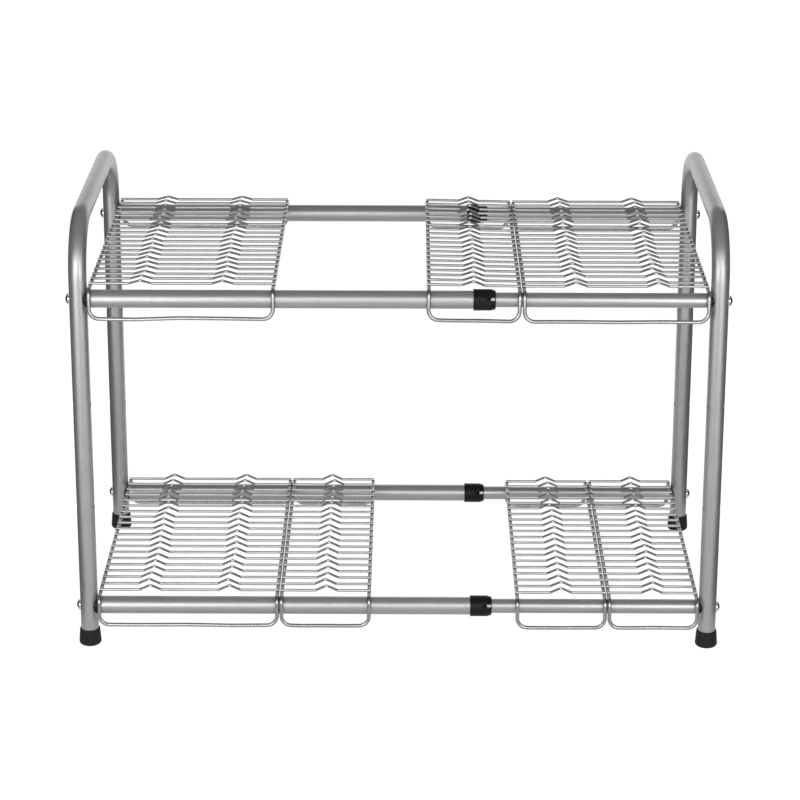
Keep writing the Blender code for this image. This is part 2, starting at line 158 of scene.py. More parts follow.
# The clearance between seated pieces, and how far a cutter runs past what it cuts
SEAT_GAP = 0.0003
OVERRUN = 0.002
MERGE_DISTANCE = 0.0000001
SHARP_ANGLE = math.radians(38)
AXIS_X = Vector((1, 0, 0))
AXIS_Y = Vector((0, 1, 0))
AXIS_Z = Vector((0, 0, 1))

# Noises: cells to the metre, and levels of detail
PAINT_FLAKES = (2600, 2)
PAINT_CLOUDS = (55, 3)
PAINT_RUBS = (900, 3)
PAINT_MARKS = (240, 4)
PAINT_PEEL = (420, 1)
PLATE_DULLING = (170, 2)
PLATE_POLISH = (1400, 2)
BLACK_CLOUDS = (160, 4)
DUST_SPECKS = (900, 3)
GRAIN_DETAIL = 2
# Scales that draw a noise out, along the bars and upwards
RUB_STRETCH = (0.02, 1, 1)
POLISH_STRETCH = (1, 1, 0.1)
# The usual spread of a noise's values, and the spreads over which rubs and dust fade
NOISE_SPREAD = (0.3, 0.7)
RUB_SPREAD = (0.35, 0.6)
DUST_SPREAD = (0.45, 0.7)
# Factors at the low and at the high end of a noise
FLAKE_TONES = (0.90, 1.08)
CLOUD_TINTS = ((0.95, 0.95, 0.965), (1.0, 1.0, 1.0))
MARK_ROUGHNESS = (0.86, 1.14)
PLATE_TINTS = ((0.9, 0.9, 0.92), (1, 1, 1.02))
BLACK_TONES = (0.8, 1.25)
# Bumps: strength and depth
FLAKE_BUMP = (0.10, 0.00003)
PEEL_BUMP = (0.12, 0.00012)
POLISH_BUMP = (0.02, 0.00002)
GRAIN_DEPTH = 0.00008

COAT_WEIGHT = 0.25
COAT_ROUGHNESS = 0.12
BLACK_SPECULAR = 0.15
DUST_HEIGHT = 0.004
DUST_COLOUR = (0.11, 0.105, 0.10, 1)
BLACK = (0, 0, 0, 1)
WHITE = (1, 1, 1, 1)

BODIES = frame["record"]["behaviour"]["bodies"]
BODY_OF = {member: body for body, members in BODIES.items() for member in members}


# Meshes


def new_object(name, data):
    item = bpy.data.objects.new(name, data)
    bpy.context.scene.collection.objects.link(item)
    return item


def finish_mesh(name, shape):
    bmesh.ops.recalc_face_normals(shape, faces=shape.faces)
    mesh = bpy.data.meshes.new(name)
    shape.to_mesh(mesh)
    shape.free()
    mesh.shade_smooth()
    mesh.set_sharp_from_angle(angle=SHARP_ANGLE)
    return mesh


def bridge(shape, first, second):
    for index in range(len(first)):
        after = (index + 1) % len(first)
        shape.faces.new((first[index], first[after], second[after], second[index]))


def turned(profile, axis, sides, place=(0, 0, 0), hollow=False):
    """Turns (along, radius) points round the X or Z axis. A hollow profile meets its own start."""
    shape = bmesh.new()
    rings = []
    for along, radius in profile:
        corners = []
        for index in range(sides):
            angle = math.tau * index / sides
            across, up = radius * math.cos(angle), radius * math.sin(angle)
            point = (along, across, up) if axis == "X" else (across, up, along)
            corners.append(shape.verts.new(point))
        rings.append(corners)
    for first, second in zip(rings, rings[1:]):
        bridge(shape, first, second)
    if hollow:
        bridge(shape, rings[-1], rings[0])
    else:
        shape.faces.new(rings[0])
        shape.faces.new(rings[-1])
    bmesh.ops.remove_doubles(shape, verts=shape.verts, dist=MERGE_DISTANCE)
    bmesh.ops.translate(shape, verts=shape.verts, vec=Vector(place))
    return shape


def rounded_path(corners, radii, steps):
    """Replaces each corner by an arc. A radius of 0 keeps the corner."""
    path = []
    count = len(corners)
    for index, (corner, radius) in enumerate(zip(corners, radii)):
        if radius == 0:
            path.append(corner)
            continue
        before = (corners[index - 1] - corner).normalized()
        after = (corners[(index + 1) % count] - corner).normalized()
        half = before.angle(after) / 2
        centre = corner + (before + after).normalized() * radius / math.sin(half)
        start = corner + before * radius / math.tan(half) - centre
        turn = start.rotation_difference(corner + after * radius / math.tan(half) - centre)
        for step in range(steps + 1):
            part = turn.copy()
            part.angle = turn.angle * step / steps
            path.append(centre + part @ start)
    return path


def sweep(shape, path, radius, sides, normal, closed=False):
    """Carries a round section along a path, mitred at each point, and returns its rings."""
    count = len(path)
    headings = [(path[(index + 1) % count] - path[index]).normalized() for index in range(count)]
    if not closed:
        headings[-1] = headings[-2]
    rings = []
    for index, (point, leaving) in enumerate(zip(path, headings)):
        arriving = headings[index - 1] if closed or index else leaving
        if index:
            normal = headings[index - 1].rotation_difference(leaving) @ normal
        mitre = (arriving + leaving).normalized()
        side = leaving.cross(normal)
        corners = []
        for corner in range(sides):
            angle = math.tau * corner / sides
            offset = (normal * math.cos(angle) + side * math.sin(angle)) * radius
            offset -= leaving * offset.dot(mitre) / leaving.dot(mitre)
            corners.append(shape.verts.new(point + offset))
        rings.append(corners)
    for first, second in zip(rings, rings[1:]):
        bridge(shape, first, second)
    if closed:
        bridge(shape, rings[-1], rings[0])
    return rings


def sealed_sweep(shape, path, radius, sides, normal):
    """Sweeps an open path and closes both of its ends."""
    rings = sweep(shape, path, radius, sides, normal)
    shape.faces.new(rings[0])
    shape.faces.new(rings[-1])
    return rings


def keep_result(piece):
    """Puts the result of a piece's modifiers in the place of its mesh."""
    bpy.context.view_layer.update()
    evaluated = piece.evaluated_get(bpy.context.evaluated_depsgraph_get())
    result = bpy.data.meshes.new_from_object(evaluated)
    piece.modifiers.clear()
    piece.data = result


def cut(piece, cutter_shape, operation="DIFFERENCE"):
    """Cuts a piece with a helper shape, which is then deleted."""
    helper = new_object("helper", finish_mesh("helper", cutter_shape))
    modifier = piece.modifiers.new("Cut", "BOOLEAN")
    modifier.operation = operation
    modifier.solver = "EXACT"
    modifier.object = helper
    keep_result(piece)
    bpy.data.objects.remove(helper, do_unlink=True)


def round_edges(piece, width, segments):
    """Rounds the sharp edges of a piece that has been cut."""
    modifier = piece.modifiers.new("Edges", "BEVEL")
    modifier.width = width
    modifier.segments = segments
    modifier.limit_method = "ANGLE"
    modifier.angle_limit = SHARP_ANGLE
    modifier.harden_normals = True
    keep_result(piece)


def add_piece(node, shape, material):
    """Makes the piece that stands for a node of the frame. It rides on the node's own body."""
    piece = new_object(f"{node}_surface", finish_mesh(node, shape))
    piece.data.materials.append(material)
    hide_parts(node)
    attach(piece, BODY_OF[node])
    return piece


def tube_box(node):
    """Left end, right end, radius and axis place of a round node that lies along X."""
    low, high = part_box(node)
    centre = (low + high) / 2
    return low.x, high.x, (high.z - low.z) / 2, centre.y, centre.z


def middle(node):
    """The x, y and z of the middle of a node's box."""
    low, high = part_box(node)
    return [(start + end) / 2 for start, end in zip(low, high)]


# Materials


def new_material(name):
    material = bpy.data.materials.new(name)
    material.use_nodes = True
    tree = material.node_tree
    return material, tree, tree.nodes["Principled BSDF"]


def set_inputs(node, values):
    for name, value in values.items():
        node.inputs[name].default_value = value


def grey(value):
    return (value, value, value)


def noise(tree, where, scale, detail, stretch=(1, 1, 1)):
    """A noise texture in the object's own coordinates, which ride with the piece."""
    mapping = tree.nodes.new("ShaderNodeMapping")
    set_inputs(mapping, {"Scale": stretch})
    tree.links.new(where.outputs["Object"], mapping.inputs["Vector"])
    texture = tree.nodes.new("ShaderNodeTexNoise")
    set_inputs(texture, {"Scale": scale, "Detail": detail})
    tree.links.new(mapping.outputs["Vector"], texture.inputs["Vector"])
    return texture.outputs["Fac"]


def ramp(tree, source, colours, spread=NOISE_SPREAD):
    """Turns a spread of a noise's values into the shades from one colour to another."""
    node = tree.nodes.new("ShaderNodeValToRGB")
    for element, place, colour in zip(node.color_ramp.elements, spread, colours):
        element.position = place
        element.color = (*colour, 1)
    tree.links.new(source, node.inputs["Fac"])
    return node.outputs["Color"]


def span(tree, source, results, spread=NOISE_SPREAD):
    """Turns a spread of a texture's values into a range of results."""
    node = tree.nodes.new("ShaderNodeMapRange")
    names = ("From Min", "From Max", "To Min", "To Max")
    set_inputs(node, dict(zip(names, (*spread, *results))))
    tree.links.new(source, node.inputs["Value"])
    return node.outputs["Result"]


def multiply(tree, first, second):
    node = tree.nodes.new("ShaderNodeMix")
    node.data_type = "RGBA"
    node.blend_type = "MULTIPLY"
    set_inputs(node, {"Factor": 1})
    tree.links.new(first, node.inputs["A"])
    tree.links.new(second, node.inputs["B"])
    return node.outputs["Result"]


def bump(tree, height, strength, distance, below=None):
    node = tree.nodes.new("ShaderNodeBump")
    set_inputs(node, {"Strength": strength, "Distance": distance})
    tree.links.new(height, node.inputs["Height"])
    if below is not None:
        tree.links.new(below, node.inputs["Normal"])
    return node.outputs["Normal"]


def metal_paint(name, tone, roughness, metallic, streaks=0):
    """Silver paint: flakes, slight orange peel, handling marks, and streaks where it is rubbed."""
    material, tree, shader = new_material(name)
    where = tree.nodes.new("ShaderNodeTexCoord")
    flakes = noise(tree, where, *PAINT_FLAKES)
    clouds = noise(tree, where, *PAINT_CLOUDS)
    colour = ramp(tree, flakes, [grey(tone * factor) for factor in FLAKE_TONES])
    colour = multiply(tree, colour, ramp(tree, clouds, CLOUD_TINTS))
    if streaks:
        rubbed = noise(tree, where, *PAINT_RUBS, RUB_STRETCH)
        rubs = ramp(tree, rubbed, (grey(1 - streaks), grey(1.0)), RUB_SPREAD)
        colour = multiply(tree, colour, rubs)
    tree.links.new(colour, shader.inputs["Base Color"])
    set_inputs(shader, {"Metallic": metallic})
    set_inputs(shader, {"Coat Weight": COAT_WEIGHT, "Coat Roughness": COAT_ROUGHNESS})
    marks = noise(tree, where, *PAINT_MARKS)
    sheen = span(tree, marks, [roughness * factor for factor in MARK_ROUGHNESS])
    tree.links.new(sheen, shader.inputs["Roughness"])
    peel = bump(tree, noise(tree, where, *PAINT_PEEL), *PEEL_BUMP)
    grain = bump(tree, flakes, *FLAKE_BUMP, peel)
    tree.links.new(grain, shader.inputs["Normal"])
    return material


def bright_plate(name, tone, roughness):
    """Bright plating with faint polishing marks and a trace of dulling."""
    material, tree, shader = new_material(name)
    where = tree.nodes.new("ShaderNodeTexCoord")
    dull = noise(tree, where, *PLATE_DULLING)
    colours = [[tone * factor for factor in tint] for tint in PLATE_TINTS]
    tree.links.new(ramp(tree, dull, colours), shader.inputs["Base Color"])
    set_inputs(shader, {"Metallic": 1})
    tree.links.new(span(tree, dull, roughness), shader.inputs["Roughness"])
    polish = noise(tree, where, *PLATE_POLISH, POLISH_STRETCH)
    tree.links.new(bump(tree, polish, *POLISH_BUMP), shader.inputs["Normal"])
    return material


def moulded_black(name, tone, roughness, grain, dust=0):
    """A black surface with uneven sheen, a grain of its own scale and strength, and some dust."""
    material, tree, shader = new_material(name)
    where = tree.nodes.new("ShaderNodeTexCoord")
    clouds = noise(tree, where, *BLACK_CLOUDS)
    colour = ramp(tree, clouds, [grey(tone * factor) for factor in BLACK_TONES])
    if dust:
        colour = dusted(tree, where, colour, dust)
    tree.links.new(colour, shader.inputs["Base Color"])
    tree.links.new(span(tree, clouds, roughness), shader.inputs["Roughness"])
    set_inputs(shader, {"Specular IOR Level": BLACK_SPECULAR})
    scale, strength = grain
    height = noise(tree, where, scale, GRAIN_DETAIL)
    tree.links.new(bump(tree, height, strength, GRAIN_DEPTH), shader.inputs["Normal"])
    return material


def dusted(tree, where, colour, most):
    """Lays specks of dust over a colour. They are densest at the floor."""
    split = tree.nodes.new("ShaderNodeSeparateXYZ")
    tree.links.new(where.outputs["Object"], split.inputs["Vector"])
    closeness = span(tree, split.outputs["Z"], (0, 1), (DUST_HEIGHT, 0))
    speckled = noise(tree, where, *DUST_SPECKS)
    specks = ramp(tree, speckled, (grey(0.0), grey(most)), DUST_SPREAD)
    amount = multiply(tree, closeness, specks)
    mix = tree.nodes.new("ShaderNodeMix")
    mix.data_type = "RGBA"
    set_inputs(mix, {"B": DUST_COLOUR})
    tree.links.new(amount, mix.inputs["Factor"])
    tree.links.new(colour, mix.inputs["A"])
    return mix.outputs["Result"]


# Pieces


def dished_drill(radius, place):
    """The cutter for a cross hole, wider near the tube's surface, where the punch pressed it in."""
    bore = HOLE_DIAMETER / 2
    inner = radius - HOLE_RIM_DEPTH
    outer = radius + OVERRUN
    half = [(inner, bore), (radius, HOLE_RIM_RADIUS), (outer, HOLE_RIM_RADIUS)]
    profile = [(-along, size) for along, size in reversed(half)] + half
    return turned(profile, "X", HOLE_SIDES, place)


def darken_hole_walls(piece, holes, material):
    """Gives the walls of the cross holes a near-black material of their own, painted shade inside
    the holes.
    """
    piece.data.materials.append(material)
    for face in piece.data.polygons:
        if abs(face.normal.x) >= HOLE_WALL_FACING:
            continue
        centre = face.center
        if any(math.hypot(centre.y - y, centre.z - z) < HOLE_RIM_RADIUS for y, z in holes):
            face.material_index = HOLE_WALL_SLOT


def side_frame(node, material, hole_shade_material):
    """One bent tube with cross holes, open at both lower ends inside the feet."""
    low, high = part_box(node)
    radius = (high.x - low.x) / 2
    axis_x = low.x + radius
    front, rear, top = low.y + radius, high.y - radius, high.z - radius
    corners = [
        Vector((axis_x, front, low.z)),
        Vector((axis_x, front, top)),
        Vector((axis_x, rear, top)),
        Vector((axis_x, rear, low.z)),
    ]
    path = rounded_path(corners, [0, ARCH_BEND_RADIUS, ARCH_BEND_RADIUS, 0], ARCH_STEPS)
    _, _, lowest = middle("lower_front_outer_tube")
    heights = [lowest + HOLE_PITCH * step for step in range(HOLES_PER_LEG)]
    # A ring close below and above each hole, so that only short faces meet the hole's rim
    collars = [height + HOLE_DIAMETER * turn for height in heights for turn in (-1, 1)]
    up = [Vector((axis_x, front, height)) for height in collars]
    down = [Vector((axis_x, rear, height)) for height in reversed(collars)]
    path = path[:1] + up + path[1:-1] + down + path[-1:]
    shape = bmesh.new()
    outside = sweep(shape, path, radius, TUBE_SIDES, AXIS_X)
    inside = sweep(shape, path, radius - TUBE_WALL, TUBE_SIDES, AXIS_X)
    bridge(shape, outside[0], inside[0])
    bridge(shape, outside[-1], inside[-1])
    piece = add_piece(node, shape, material)
    holes = [(across, height) for across in (front, rear) for height in heights]
    for across, height in holes:
        cut(piece, dished_drill(radius, (axis_x, across, height)))
    darken_hole_walls(piece, holes, hole_shade_material)


def bar_tube(node, material, wall):
    """A straight tube with softened ends."""
    start, end, radius, across, up = tube_box(node)
    bore = radius - wall
    rim = TUBE_END_ROUNDING
    profile = [
        (start, bore + rim),
        (start, radius - rim),
        (start + rim, radius),
        (end - rim, radius),
        (end, radius - rim),
        (end, bore + rim),
        (end - rim, bore),
        (start + rim, bore),
    ]
    shape = turned(profile, "X", TUBE_SIDES, (0, across, up), hollow=True)
    add_piece(node, shape, material)


def sleeve(node, material):
    """A bush with a back collar, a tapered nose and a window in the nose's front."""
    start, end, body, across, up = tube_box(node)
    outer = tube_box(node.replace("sleeve", "outer_tube"))[2]
    guide = tube_box(node.replace("sleeve", "inner_tube"))[2] + SLEEVE_GUIDE_GAP
    socket = outer + SLEEVE_GUIDE_GAP
    shoulder = end - SLEEVE_NOSE_LENGTH
    groove = start + SLEEVE_COLLAR_LENGTH
    edge = SLEEVE_EDGE
    waist = body - SLEEVE_GROOVE_DEPTH
    profile = [
        (start, socket),
        (start, body - edge),
        (start + edge / 2, body - edge / 4),
        (start + edge, body),
        (groove - edge, body),
        (groove, waist - SLEEVE_GROOVE_DEPTH),
        (groove + edge, waist),
        (shoulder - edge, waist),
        (shoulder, waist - edge / 2),
        (end - edge, SLEEVE_NOSE_RADIUS + edge / 2),
        (end, SLEEVE_NOSE_RADIUS - edge / 2),
        (end, guide),
        (start + SLEEVE_SOCKET_DEPTH, guide),
        (start + SLEEVE_SOCKET_DEPTH, socket),
    ]
    shape = turned(profile, "X", TUBE_SIDES, (0, across, up), hollow=True)
    piece = add_piece(node, shape, material)
    slot_shape = bmesh.new()
    bmesh.ops.create_cube(slot_shape, size=1)
    half = SLEEVE_SLOT_WIDTH / 2
    low = Vector((end - SLEEVE_SLOT_DEPTH, -body - OVERRUN, -half))
    high = Vector((end - SLEEVE_SLOT_RIM, -guide + half, half))
    tilt = Matrix.Rotation(-SLEEVE_SLOT_TILT, 3, "X")
    for vertex in slot_shape.verts:
        for axis in range(3):
            vertex.co[axis] = high[axis] if vertex.co[axis] > 0 else low[axis]
        vertex.co = tilt @ vertex.co + Vector((0, across, up))
    cut(piece, slot_shape)


def facing(node):
    """1 for a piece of the left side frame, whose bars leave it along +X, and -1 for the right."""
    return 1 if node.startswith("left") else -1


def leg_axis(side):
    """The x of a side frame's legs, and their radius."""
    low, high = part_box(f"{side}_side_frame")
    return (low.x + high.x) / 2, (high.x - low.x) / 2


def turn_to_place(piece, direction, place):
    """Moves a piece that was modelled at a left leg's axis. Direction -1 turns it round first."""
    for vertex in piece.data.vertices:
        point = vertex.co
        vertex.co = Vector((point.x * direction, point.y * direction, point.z)) + place


def end_plug(node, material):
    """A saddle between leg and bar, crescent-shaped from the side, with an insert in the bar."""
    side, tier, row = node.split("_")[:3]
    kind, wall = ("outer", TUBE_WALL) if side == "left" else ("inner", INNER_TUBE_WALL)
    _, _, bar_radius, across, up = tube_box(f"{tier}_{row}_{kind}_tube")
    leg_x, leg_radius = leg_axis(side)
    low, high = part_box(node)
    horns_start, insert_end = sorted(abs(x - leg_x) for x in (low.x, high.x))
    saddle = leg_radius + SEAT_GAP
    flange_end = saddle + PLUG_FLANGE_THICKNESS
    insert = bar_radius - wall - SEAT_GAP
    profile = [
        (0, 0),
        (0, bar_radius),
        (flange_end, bar_radius),
        (flange_end, insert),
        (insert_end, insert),
        (insert_end, 0),
    ]
    piece = add_piece(node, turned(profile, "X", TUBE_SIDES), material)
    reach = leg_radius + OVERRUN
    leg = bmesh.new()
    leg_line = [Vector((0, 0, -reach)), Vector((0, 0, reach))]
    sealed_sweep(leg, leg_line, saddle, TUBE_SIDES, AXIS_X)
    cut(piece, leg)
    crescent = bmesh.new()
    centre = horns_start + PLUG_CRESCENT_RADIUS
    crescent_line = [Vector((centre, -reach, 0)), Vector((centre, reach, 0))]
    sealed_sweep(crescent, crescent_line, PLUG_CRESCENT_RADIUS, CRESCENT_SIDES, AXIS_X)
    cut(piece, crescent, "INTERSECT")
    round_edges(piece, PLUG_EDGE, PLUG_EDGE_SEGMENTS)
    turn_to_place(piece, facing(node), Vector((leg_x, across, up)))


def shank_radius(node):
    """The radius of a screw's shank, taken from the corners of its solid past the leg."""
    start, end, _, across, up = tube_box(node)
    tip = end if facing(node) == 1 else start
    points = [vertex.co for vertex in frame["nodes"][node].data.vertices]
    at_tip = [point for point in points if abs(point.x - tip) < SEAT_GAP]
    return max(math.hypot(point.y - across, point.z - up) for point in at_tip)


def screw(node, material):
    """A domed head with a cross recess, and its shank."""
    leg_x, leg_radius = leg_axis(node.split("_")[0])
    start, end, _, across, up = tube_box(node)
    under = -leg_radius - SEAT_GAP
    top = under - SCREW_HEAD_HEIGHT
    tip = top + (end - start)
    shank = shank_radius(node)
    head = SCREW_HEAD_RADIUS
    rise = SCREW_HEAD_HEIGHT - SCREW_HEAD_RIM
    dome = (head**2 + rise**2) / (2 * rise)
    widest = math.asin(head / dome)
    profile = []
    for step in range(DOME_STEPS + 1):
        angle = widest * step / DOME_STEPS
        profile.append((top + dome * (1 - math.cos(angle)), dome * math.sin(angle)))
    profile += [(under, head), (under, shank), (tip, shank), (tip, 0)]
    piece = add_piece(node, turned(profile, "X", TUBE_SIDES), material)
    recess = bmesh.new()
    long, short = RECESS_ARM_LENGTH / 2, RECESS_ARM_WIDTH / 2
    for half_y, half_z in ((long, short), (short, long)):
        arm = bmesh.ops.create_cube(recess, size=1)["verts"]
        for vertex in arm:
            outward = vertex.co.x < 0
            narrow = 1 if outward else RECESS_TAPER
            vertex.co.x = top - OVERRUN if outward else top + RECESS_DEPTH
            vertex.co.y = math.copysign(half_y * narrow, vertex.co.y)
            vertex.co.z = math.copysign(half_z * narrow, vertex.co.z)
    cut(piece, recess)
    turn_to_place(piece, facing(node), Vector((leg_x, across, up)))


def foot(node, material):
    """A rubber cap: rounded sole edge, a wall that narrows upward, and a soft lip round the leg."""
    low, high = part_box(node)
    centre = (low + high) / 2
    _, leg_radius = leg_axis(node.split("_")[0])
    bottom = (high.x - low.x) / 2
    bore = leg_radius + SEAT_GAP / 2
    edge, lip = FOOT_EDGE_RADIUS, FOOT_LIP_RADIUS
    top = bore + 2 * lip
    profile = [(0, 0)]
    for step in range(FOOT_EDGE_STEPS + 1):
        angle = math.pi / 2 * step / FOOT_EDGE_STEPS
        profile.append((edge * (1 - math.cos(angle)), bottom - edge + edge * math.sin(angle)))
    for step in range(FOOT_EDGE_STEPS + 1):
        angle = math.pi * step / FOOT_EDGE_STEPS
        profile.append((high.z - lip + lip * math.sin(angle), top - lip + lip * math.cos(angle)))
    profile += [(FOOT_FLOOR, bore), (FOOT_FLOOR, 0)]
    shape = turned(profile, "Z", TUBE_SIDES, (centre.x, centre.y, 0))
    add_piece(node, shape, material)


def uneven_run(start, end, lifts, chooser):
    """Points along a loop's lowest wire, which hangs a little unevenly after bending by hand."""
    points = []
    for index in range(1, LOOP_RUN_POINTS + 1):
        point = start.lerp(end, index / (LOOP_RUN_POINTS + 1))
        point.z += lifts[index - 1] + chooser.uniform(-LOOP_SAG, LOOP_SAG)
        points.append(point)
    return points


def frame_wire_path(node, width, reach, top, chooser):
    """The closed line of a panel's frame wire, with a down-turned loop at the front and rear."""
    outline = ((0, -LOOP_DROP), (width, -LOOP_DROP), (width, top), (0, top))
    front, rear = [[Vector((x, y, z)) for x, z in outline] for y in (-reach, reach)]
    front_run = uneven_run(front[0], front[1], LOOP_LIFTS.get(node, LEVEL_LOOP), chooser)
    rear_run = uneven_run(rear[1], rear[0], LEVEL_LOOP, chooser)
    route = [front[0], *front_run, front[1], front[2]]
    route += [rear[2], rear[1], *rear_run, rear[0], rear[3], front[3]]
    run_bends = [LOOP_RUN_RADIUS] * LOOP_RUN_POINTS
    loop_bends = [LOOP_CORNER_RADIUS, *run_bends, LOOP_CORNER_RADIUS]
    radii = [*loop_bends, BAR_BEND_RADIUS, BAR_BEND_RADIUS] * 2
    return rounded_path(route, radii, WIRE_BEND_STEPS)


def cross_wire_path(width, across, base, humps, height, top_radius):
    """A cross wire's line: straight, with a rounded V at each hump."""
    corners, radii = [Vector((-WIRE_END_REACH, across, base))], [0]
    for hump in humps:
        for along, up in ((-HUMP_HALF_WIDTH, 0), (0, height), (HUMP_HALF_WIDTH, 0)):
            corners.append(Vector((hump + along, across, base + up)))
            radii.append(top_radius if up else HUMP_BEND_RADIUS)
    corners.append(Vector((width + WIRE_END_REACH, across, base)))
    radii.append(0)
    return rounded_path(corners, radii, HUMP_STEPS)


def set_slot(vertices, slot):
    """Gives every face that meets one of the vertices a material slot."""
    for vertex in vertices:
        for face in vertex.link_faces:
            face.material_index = slot


def press_and_shade_flanks(line, rings, humps):
    """Flattens a cross wire between the bends of each hump, where the press held it, and paints
    shade on the flanks with a dark wire material.
    """
    bend = HUMP_STEPS + 1
    for hump in range(humps):
        first = 1 + 3 * bend * hump
        for start in (first + bend - 1, first + 2 * bend - 1):
            for index in (start, start + 1):
                level = line[index].z
                for vertex in rings[index]:
                    vertex.co.z = level + (vertex.co.z - level) * PRESSED_THICKNESS
            flank = set(rings[start]) | set(rings[start + 1])
            for vertex in rings[start]:
                for face in vertex.link_faces:
                    if set(face.verts) <= flank:
                        face.material_index = PAINTED_SHADE_SLOT


def weld_bead(shape, place):
    """The small bead of metal where a cross wire is welded to the frame wire, in a dark wire
    material that paints the shade of the joint's crevice.
    """
    sphere = bmesh.ops.create_icosphere(shape, subdivisions=WELD_BEAD_SUBDIVISIONS, radius=1)
    for vertex in sphere["verts"]:
        vertex.co = vertex.co * WELD_BEAD_SIZE + place
    set_slot(sphere["verts"], PAINTED_SHADE_SLOT)


def lean_and_place(shape, lean, datum):
    """Turns a panel about its left wire's line, as its seats do, and sets it on the bars."""
    cosine, sine = math.cos(lean), math.sin(lean)
    for vertex in shape.verts:
        x, z = vertex.co.x, vertex.co.z
        vertex.co.x = x * cosine + z * sine
        vertex.co.z = z * cosine - x * sine
        vertex.co += datum


def panel(node, material, cross_wire_material, painted_shade_material):
    """A welded wire panel: a closed frame wire with two down-turned loops, and its cross wires."""
    chooser = random.Random(node)
    low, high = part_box(node)
    tier = node.split("_")[0]
    _, outer_end, outer_radius, _, bar_height = tube_box(f"{tier}_front_outer_tube")
    inner_radius = tube_box(f"{tier}_front_inner_tube")[2]
    left_seat = outer_radius if low.x < outer_end else inner_radius
    right_seat = outer_radius if high.x < outer_end else inner_radius
    wire = FRAME_WIRE_RADIUS
    width = high.x - low.x - 2 * wire
    top = wire * WIRE_FLAT
    shape = bmesh.new()
    path = frame_wire_path(node, width, high.y - wire, top, chooser)
    sweep(shape, path, wire, WIRE_SIDES, AXIS_Y, closed=True)
    _, front_y, _ = middle(f"{tier}_front_outer_tube")
    _, rear_y, _ = middle(f"{tier}_rear_outer_tube")
    base = top + wire - WELD_DEPTH + CROSS_WIRE_RADIUS
    first = front_y + FIRST_ROW_OFFSET
    pitch = (rear_y + LAST_ROW_OFFSET - first) / (CROSS_WIRE_ROWS - 1)
    count = 1 if width < NARROW_PANEL_LIMIT else 2
    middles = [width / 2 + HUMP_SPACING * (index - (count - 1) / 2) for index in range(count)]
    for row in range(CROSS_WIRE_ROWS):
        across = first + pitch * row + chooser.uniform(-ROW_WANDER, ROW_WANDER)
        across += ROW_SLIPS.get((node, row), 0)
        shift = chooser.uniform(-HUMP_WANDER, HUMP_WANDER)
        humps = [place + shift for place in middles]
        line = cross_wire_path(width, across, base, humps, *HUMP_SHAPES[node])
        rings = sealed_sweep(shape, line, CROSS_WIRE_RADIUS, CROSS_WIRE_SIDES, AXIS_Z)
        for ring in rings:
            set_slot(ring, CROSS_WIRE_SLOT)
        press_and_shade_flanks(line, rings, count)
        for along in (0, width):
            weld_bead(shape, Vector((along, across, top + wire)))
    lean = math.asin((left_seat - right_seat) / width)
    datum = Vector((low.x + wire, 0, bar_height + left_seat + SEAT_GAP))
    lean_and_place(shape, lean, datum)
    piece = add_piece(node, shape, material)
    piece.data.materials.append(cross_wire_material)
    # The dark wire material paints shade on the hump flanks and the weld beads
    piece.data.materials.append(painted_shade_material)


# Stage


def strip(left, right, first_edge, second_edge):
    """The corners of a card between two edges along X, each given by its y and z."""
    return [(left, *first_edge), (right, *first_edge), (right, *second_edge), (left, *second_edge)]


def upright(x, front, rear, top):
    """The corners of a card that stands on the floor beside the rack."""
    return [(x, front, 0), (x, rear, 0), (x, rear, top), (x, front, top)]


CAMERA_PLACE = Vector((0.00851, -2.40804, 1.03967))
CAMERA_PITCH = math.radians(18.1665)
CAMERA_YAW = math.radians(0.2265)
CAMERA_ROLL = math.radians(-0.1194)
CAMERA_SENSOR_MM = 36
CAMERA_LENS_MM = 122.315
CAMERA_SHIFT = -0.08
CAMERA_REACH = 100

FLOOR_SIZE = 12.0
FLOOR_SQUARES = 8
FLOOR_TONE = 0.26
FLOOR_ROUGHNESS = 0.9
FLOOR_GLOW = 0.95
AMBIENT_TONE = 0.30

# Each soft light's place, target, width, height, and brightness, where 1 is the backdrop's white
LIGHTS = {
    "front_left_light": ((-0.60, -1.15, 0.42), (-0.10, 0, 0.25), 0.80, 0.80, 3.05),
    "front_right_light": ((0.64, -1.15, 0.42), (0.10, 0, 0.25), 0.80, 0.80, 2.7),
    "fill_light": ((0, -2.4, 1.3), (0, 0, 0.2), 1.0, 0.7, 2.0),
    "back_light": ((0, 2.4, 0.62), (0, 0, 0.40), 2.6, 0.9, 0.2),
}
FLAG_TOP = 0.95
# Each card's corners and brightness
FLAGS = {
    "front_floor_flag": (strip(-0.75, 0.75, (-1.12, 0.0005), (0.3, 0.0005)), 0.72),
    "top_flag": (strip(-1.6, 1.6, (-0.75, FLAG_TOP), (0.95, FLAG_TOP)), 0.22),
    "top_rear_flag": (strip(-1.6, 1.6, (0.95, FLAG_TOP), (1.5, FLAG_TOP)), 0.5),
    "upper_front_flag": (strip(-1.6, 1.6, (-0.75, FLAG_TOP), (-1.3, 1.6)), 0.18),
    "left_flag": (upright(-0.85, -0.55, 1.2, FLAG_TOP), 0.06),
    "left_floor_flag": (strip(-0.35, -2.4, (-0.3, 0.001), (2.0, 0.001)), 0.06),
    "right_flag": (upright(0.85, -0.55, 1.2, FLAG_TOP), 0.06),
    "right_floor_flag": (strip(0.35, 2.4, (-0.3, 0.001), (2.0, 0.001)), 0.06),
}


def set_camera():
    data = bpy.data.cameras.new("camera")
    data.sensor_width = CAMERA_SENSOR_MM
    data.lens = CAMERA_LENS_MM
    data.clip_end = CAMERA_REACH
    data.shift_y = CAMERA_SHIFT
    camera = new_object("camera", data)
    camera.location = CAMERA_PLACE
    camera.rotation_euler = (math.pi / 2 - CAMERA_PITCH, CAMERA_ROLL, CAMERA_YAW)
    bpy.context.scene.camera = camera


